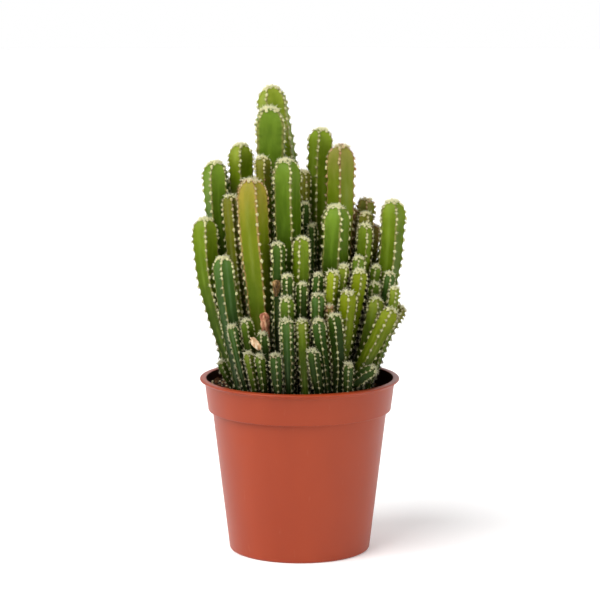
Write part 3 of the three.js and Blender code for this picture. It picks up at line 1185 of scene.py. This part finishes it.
@dataclass
class Pot:
    """The round pot: a shell turned about its axis, with a rolled lip, an upper band and drain holes.

    Sizes and heights are in millimetres.
    """

    finishes: Finishes
    around: int = 192
    floor: float = 1.8
    # Height below which the inner wall takes the painted shade, in millimetres.
    shaded_below: float = 103.8
    holes: int = 8
    hole_sides: int = 24
    hole_radius: float = 3.5
    hole_circle: float = 27.0
    hole_span: tuple[float, float] = (-2.0, 4.0)
    sharp_from: float = 30.0  # degrees between two faces whose edge stays crisp

    def profile(self) -> Profile:
        """Draws the pot's section in millimetres.

        Returns:
            Radius and height of its points, from the underside up the outside and down the inside.
        """
        corner = arc(40.9, 1.6, 1.6, -90, 0, 6)
        step = [(52.4, 84.7), *arc(52.8, 85.0, 0.35, 180, 90, 4), *arc(54.5, 86.0, 0.55, -80, 0, 5)]
        flare = [*arc(58.9, 101.2, 1.9, 180, 105, 6), *arc(59.35, 104.1, 0.65, -60, 60, 6), (58.9, 104.9)]
        rim = [(58.4, 105.0), (57.2, 104.95), *arc(56.65, 104.4, 0.5, 60, 180, 5)]
        inside = [(55.9, 101.0), (53.8, 87.6), (53.4, 87.0), (51.3, 86.3), (51.1, 84.3), (41.4, self.floor)]
        return [*corner, *step, *flare, *rim, *inside]

    def make(self) -> Object:
        """Makes the pot and cuts its drain holes.

        Returns:
            The piece.
        """
        build = Build()
        rings = [level_ring(radius, height, self.around) for radius, height in np.array(self.profile()) * MM]
        build.loft(rings, (0, 0, 0), (0, 0, self.floor * MM))
        pot = build.piece("pot_shell", [self.finishes.pot, self.finishes.pot_inside_shade])
        self._drain(pot)
        self._paint_inner_shade(pot)
        pot.data.set_sharp_from_angle(angle=math.radians(self.sharp_from))
        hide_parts("pot")
        return pot

    def _paint_inner_shade(self, pot: Object) -> None:
        """Gives the inner wall, below the rim, a darker and duller copy of the pot's plastic: painted shade
        in the pot's hollow.

        Args:
            pot: The shell.
        """
        inward, clear_of_floor = -0.5, 0.05  # share of a face's normal, and metres from the origin
        for face in pot.data.polygons:
            outward = Vector((face.center.x, face.center.y, 0)).normalized()
            inner = face.normal.dot(outward) < inward and face.center.length > clear_of_floor
            face.material_index = int(inner and face.center.z < self.shaded_below * MM)

    def _drain(self, pot: Object) -> None:
        """Cuts the drain holes through the floor.

        Args:
            pot: The shell, which gets a new mesh.
        """
        cutters = Build()
        for k in range(self.holes):
            at = (k + 0.5) * FULL_TURN / self.holes
            middle = np.array([self.hole_circle * math.cos(at), self.hole_circle * math.sin(at), 0])
            rings = [level_ring(self.hole_radius, z, self.hole_sides) + middle for z in self.hole_span]
            low, high = (middle + [0, 0, z] for z in self.hole_span)
            cutters.loft(rings, low, high, MM)
        tool = cutters.piece("drain_cutters", [])
        cut = pot.modifiers.new("drain_holes", "BOOLEAN")
        cut.operation, cut.solver, cut.object = "DIFFERENCE", "EXACT", tool
        bpy.context.view_layer.update()
        shaped = bpy.data.meshes.new_from_object(pot.evaluated_get(bpy.context.evaluated_depsgraph_get()))
        pot.modifiers.remove(cut)
        pot.data = shaped
        bpy.data.objects.remove(tool)


@dataclass(frozen=True)
class Scatter:
    """Loose crumbs of one kind. Sizes and places are in millimetres."""

    name: str
    count: int
    small: float
    large: float
    seed: int
    patches: tuple[tuple[float, float], ...] = ()  # where half of them gather


@dataclass
class SoilBed:
    """The peat's surface, its crumbs and pale grit, in millimetres."""

    finishes: Finishes
    level: float = 97.5
    fall: float = 0.055
    floor: float = 2.1
    around: int = 160
    rings: int = 62
    edge: float = 54.4
    seed: int = 7
    crumb_sides: int = 7
    crumb_rings: tuple[tuple[float, float], ...] = ((-0.5, 0.7), (0.1, 1.0), (0.6, 0.65))  # height, width
    peat_crumbs: Scatter = Scatter("peat_crumbs", 900, 0.5, 1.5, 11)
    pale_grit: Scatter = Scatter("pale_grit", 90, 0.45, 1.15, 12, ((-48, -8), (-47, 5), (44, -12), (47, 4)))

    def height(self, x: Points | float, y: Points | float) -> Points | float:
        """Height of the surface in millimetres at a place in millimetres."""
        return self.level - self.fall * x + 0.7 * np.sin(x / 9 + 1) * np.cos(y / 9)

    def make(self) -> list[Object]:
        """Makes the peat body and the loose crumbs.

        Returns:
            The pieces.
        """
        rng = np.random.default_rng(self.seed)
        turn = spaced_angles(self.around)
        sides = ((41.0, self.floor), (50.7, 84.3), (50.8, 86.3), (53.2, 87.7))
        rings = [level_ring(radius, height, self.around) for radius, height in sides]
        for radius in np.linspace(0.5, self.edge, self.rings)[::-1]:
            x, y = radius * np.cos(turn), radius * np.sin(turn)
            clods = 0.35 * np.sin(x * 1.9 + 2 * np.sin(y)) * np.cos(y * 1.7)
            lumps = rng.normal(0, 0.28, self.around) + clods
            rings.append(np.column_stack([x, y, self.height(x, y) + lumps]))
        build = Build()
        build.loft(rings, (0, 0, self.floor), (0, 0, self.height(0.0, 0.0)), MM)
        bed = build.piece("peat_bed", [self.finishes.peat])
        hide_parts("soil")
        crumbs = self._crumbs(self.peat_crumbs, self.finishes.crumb)
        made = [bed, crumbs, self._crumbs(self.pale_grit, self.finishes.grit)]
        return made

    def _crumbs(self, kind: Scatter, finish: Material) -> Object:
        """Scatters irregular crumbs over the surface.

        Args:
            kind: What they are like.
            finish: Their material.

        Returns:
            One piece with all of them.
        """
        farthest, patch_edge, patch_spread, sides = 53.0, 52.5, 5, self.crumb_sides
        rng = np.random.default_rng(kind.seed)
        build = Build()
        for _ in range(kind.count):
            reach, at = farthest * math.sqrt(rng.uniform(0.02, 1)), rng.uniform(0, FULL_TURN)
            x, y = reach * math.cos(at), reach * math.sin(at)
            if kind.patches and rng.uniform() < 0.5:
                patch = np.array(kind.patches[rng.integers(len(kind.patches))])
                x, y = patch + rng.normal(0, patch_spread, 2)
                x, y = np.array([x, y]) * min(1, patch_edge / math.hypot(x, y))
            size = rng.uniform(kind.small, kind.large)
            stretch = rng.uniform(0.6, 1.3, 3)
            centre = np.array([x, y, self.height(x, y) + 0.25 * size])
            rings = []
            for lift, spread in self.crumb_rings:
                lumps = rng.uniform(0.75, 1.2, sides) * spread * size
                rings.append(level_ring(lumps, lift * size, sides) * stretch + centre)
            low, high = (np.array([0, 0, lift]) * size * stretch[2] + centre for lift in (-0.8, 0.85))
            build.loft(rings, low, high, MM)
        return build.piece(kind.name, [finish], smooth=False)


@dataclass
class DriedBits:
    """A shrivelled dead shoot, a dried stub and a pale flake caught between the stems.

    The flake's place and sizes are in millimetres.
    """

    finishes: Finishes
    around: int = 24
    rings: int = 60
    folds: int = 5
    fold_depth: float = 0.3
    flare: float = 0.24
    flake_seed: int = 23
    flake_centre: Triple = (-25.6, -48.3, 133.2)
    flake_width: float = 5.2
    flake_height: float = 7.4
    flake_slant: float = 4.2
    flake_thick: float = 0.35

    def make(self) -> list[Object]:
        """Makes the three bits.

        Returns:
            The pieces.
        """
        shoot = self._withered("dried_shoot_skin", read_stem("dried_shoot"), self.finishes.dried, 21)
        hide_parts("dried_shoot")
        line = straight_stem((-13.8, -33.8, 160.5), (-13.4, -37.4, 169), 2.5, 0.3)
        bud = self._withered("dried_bud", line, self.finishes.bud, 22)
        flake = self._flake()
        return [shoot, bud, flake]

    def _withered(self, name: str, line: StemLine, finish: Material, seed: int) -> Object:
        """Makes a stem whose skin has shrunk into uneven folds, and whose torn top flares a little.

        Args:
            name: The piece's name.
            line: The line it follows.
            finish: Its material.
            seed: Starts its folds.

        Returns:
            The piece.
        """
        rng = np.random.default_rng(seed)
        rows = np.linspace(-1.5 * MM, line.length - 0.15 * MM, self.rings)
        turn = spaced_angles(self.around)
        rings = []
        for row in rows:
            centre, radius = line.at(row)
            right, back, _ = line.axes(row)
            crumple = 0.6 + 0.4 * math.sin(900 * row)
            wave = self.fold_depth * np.cos(self.folds * turn + 300 * row) * crumple
            reach = 0.86 + wave + rng.normal(0, 0.09, self.around)
            reach *= 0.92 + self.flare * (max(row, 0) / line.length) ** 3
            ring = np.outer(reach * np.cos(turn), right) + np.outer(reach * np.sin(turn), back)
            rings.append(centre + radius * ring)
        build = Build()
        build.loft(rings, line.at(rows[0])[0], line.tip)
        return build.piece(name, [finish])

    def _flake(self) -> Object:
        """Makes a thin curled flake of dry skin, leaning on the young shoots.

        Returns:
            The piece.
        """
        rng = np.random.default_rng(self.flake_seed)
        across, down = 9, 12
        front = []
        for j in range(down):
            ragged = rng.uniform(0.7, 1.15)
            for i in range(across):
                u, v = i / (across - 1) - 0.5, j / (down - 1) - 0.5
                x = u * self.flake_width * ((1 - 2.2 * v * v) * ragged) - self.flake_slant * v
                curl = 3.4 * u * u + 1.1 * math.sin(5 * v) + 0.5 * math.sin(9 * u)
                place = [x, curl + rng.normal(0, 0.1), v * self.flake_height]
                front.append(np.array(self.flake_centre) + place)
        points = np.concatenate([front, np.array(front) + [0, self.flake_thick, 0]]) * MM
        behind = across * down
        grid = np.arange(behind).reshape(down, across)
        faces = []
        for a in grid[:-1, :-1].ravel().tolist():
            quad = (a, a + 1, a + across + 1, a + across)
            faces += [quad, (behind + a, *(behind + b for b in quad[:0:-1]))]
        rim = np.concatenate([grid[0], grid[1:, -1], grid[-1, -2::-1], grid[-2:0:-1, 0]]).tolist()
        faces += [(b, a, behind + a, behind + b) for a, b in zip(rim, rim[1:] + rim[:1])]
        build = Build()
        build.add(points, faces)
        return build.piece("dry_flake", [self.finishes.flake])


# ---------------------------------------------------------------- studio


@dataclass
class Studio:
    """Pale floor, white backdrop, soft light and the camera at the photograph's viewing angle.

    Metres, apart from what the comments and names say.
    """

    distance: float = 1.5
    camera_height: float = 0.3853
    pitch_down: float = 0.1546  # radians
    sensor: float = 36.0  # millimetres
    focal_px: float = 2532.5
    frame_px: float = 600.0
    centre_px: float = 299.6
    air: float = 0.26  # strength of the light from all sides
    half_floor: float = 6.0
    backdrop_reach: float = 5.5
    card_width: float = 1.3
    card_height: float = 1.8

    def make(self) -> None:
        """Sets up the camera, the floor, the backdrop and the lights."""
        self._camera()
        self._floor()
        self._backdrop()
        self._sun("key", (-0.75, -0.65, 1.1), 50, 3.0)
        self._sun("fill", (1.0, -0.9, 0.4), 60, 0.8)
        self._sun("rear", (0.2, 1.0, 0.7), 60, 0.8)
        self._card("left_card", (-1.5, 0.9, 0.4), 7.6)
        self._card("right_card", (1.5, 1.1, 0.4), 4.8)
        world = bpy.data.worlds.new("studio_air")
        bpy.context.scene.world = world
        world.use_nodes = True
        world.node_tree.nodes["Background"].inputs["Color"].default_value = (1, 1, 1, 1)
        world.node_tree.nodes["Background"].inputs["Strength"].default_value = self.air
        bpy.context.scene.view_settings.view_transform = "Standard"

    def _camera(self) -> None:
        """Places the camera."""
        lens = bpy.data.cameras.new("camera")
        lens.sensor_width = self.sensor
        lens.lens = self.focal_px / self.frame_px * self.sensor
        lens.shift_x = (self.frame_px / 2 - self.centre_px) / self.frame_px
        camera = put_in_scene("camera", lens)
        camera.location = (0, -self.distance, self.camera_height)
        camera.rotation_euler = (math.pi / 2 - self.pitch_down, 0, 0)
        bpy.context.scene.camera = camera

    def _set_piece(self, name: str, points: list[Triple], faces: Faces, material: Material) -> Object:
        """Makes the floor or the backdrop, which isn't part of the object.

        Args:
            name: Its name.
            points: Its points.
            faces: Its faces, as indices into those points.
            material: Its material.

        Returns:
            The object.
        """
        mesh = bpy.data.meshes.new(name)
        mesh.from_pydata(points, [], faces)
        mesh.materials.append(material)
        made = put_in_scene(name, mesh)
        return made

    def _floor(self) -> None:
        """Lays the floor."""
        shader = Shader("floor_paper")
        glow = {"Emission_Color": (1.0, 1.0, 1.0), "Emission_Strength": 0.16}
        paper = shader.surface(Base_Color=(0.95, 0.95, 0.95), Roughness=0.9, Specular_IOR_Level=0.1, **glow)
        reach = self.half_floor
        spots = [(-reach, -reach, 0), (reach, -reach, 0), (reach, reach, 0), (-reach, reach, 0)]
        self._set_piece("floor", spots, [(0, 1, 2, 3)], paper)

    def _backdrop(self) -> None:
        """Hangs a white shell around the set. It is seen, but neither lights the plant nor shades it."""
        around = 32
        tilts = np.radians([-30, -10, 10, 30, 50, 70])
        rings = [level_ring(math.cos(tilt), math.sin(tilt), around) for tilt in tilts]
        points = np.concatenate([*rings, [[0, 0, 1]]]) * self.backdrop_reach
        shader = Shader("backdrop_white")
        glow = {"Emission_Color": (1.0, 1.0, 1.0), "Emission_Strength": 1.0}
        white = shader.surface(Base_Color=(0.0, 0.0, 0.0), Specular_IOR_Level=0.0, **glow)
        faces = rings_to_faces(len(rings), around, close_low=False)
        shell = self._set_piece("backdrop", points.tolist(), faces, white)
        shell.visible_diffuse = shell.visible_glossy = shell.visible_shadow = False

    def _sun(self, name: str, towards: Triple, softness: float, power: float) -> None:
        """Sets a broad soft light.

        Args:
            name: Its name.
            towards: The direction it shines from.
            softness: How wide it looks, in degrees.
            power: Its strength.
        """
        lamp = bpy.data.lights.new(name, "SUN")
        lamp.angle, lamp.energy = math.radians(softness), power
        self._hang(name, lamp, towards)

    def _card(self, name: str, place: Triple, power: float) -> None:
        """Stands a tall white card beside the plant, which the pot's and the stems' edges reflect.

        Args:
            name: Its name.
            place: Its middle.
            power: Its strength.
        """
        lamp = bpy.data.lights.new(name, "AREA")
        lamp.shape, lamp.size, lamp.size_y = "RECTANGLE", self.card_width, self.card_height
        lamp.energy = power
        self._hang(name, lamp, place)

    def _hang(self, name: str, lamp: bpy.types.Light, place: Triple) -> None:
        """Puts a light there and turns it to the origin.

        Args:
            name: The object's name.
            lamp: The light.
            place: Where it hangs.
        """
        light = put_in_scene(name, lamp)
        light.location = place
        light.rotation_euler = Vector(place).to_track_quat("Z", "Y").to_euler()


# ---------------------------------------------------------------- assembly


def main() -> None:
    """Builds the scene."""
    logging.basicConfig(level=logging.INFO, format="%(message)s")
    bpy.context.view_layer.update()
    finishes = Finishes()
    Studio().make()
    made = [Pot(finishes).make(), *SoilBed(finishes).make(), *Clump(finishes).make()]
    made += DriedBits(finishes).make()
    for piece in made:
        LOG.info("piece %s: %d faces", piece.name, len(piece.data.polygons))
    LOG.info("pieces %d, faces %d", len(made), sum(len(p.data.polygons) for p in made))


if __name__ == "__main__":
    main()
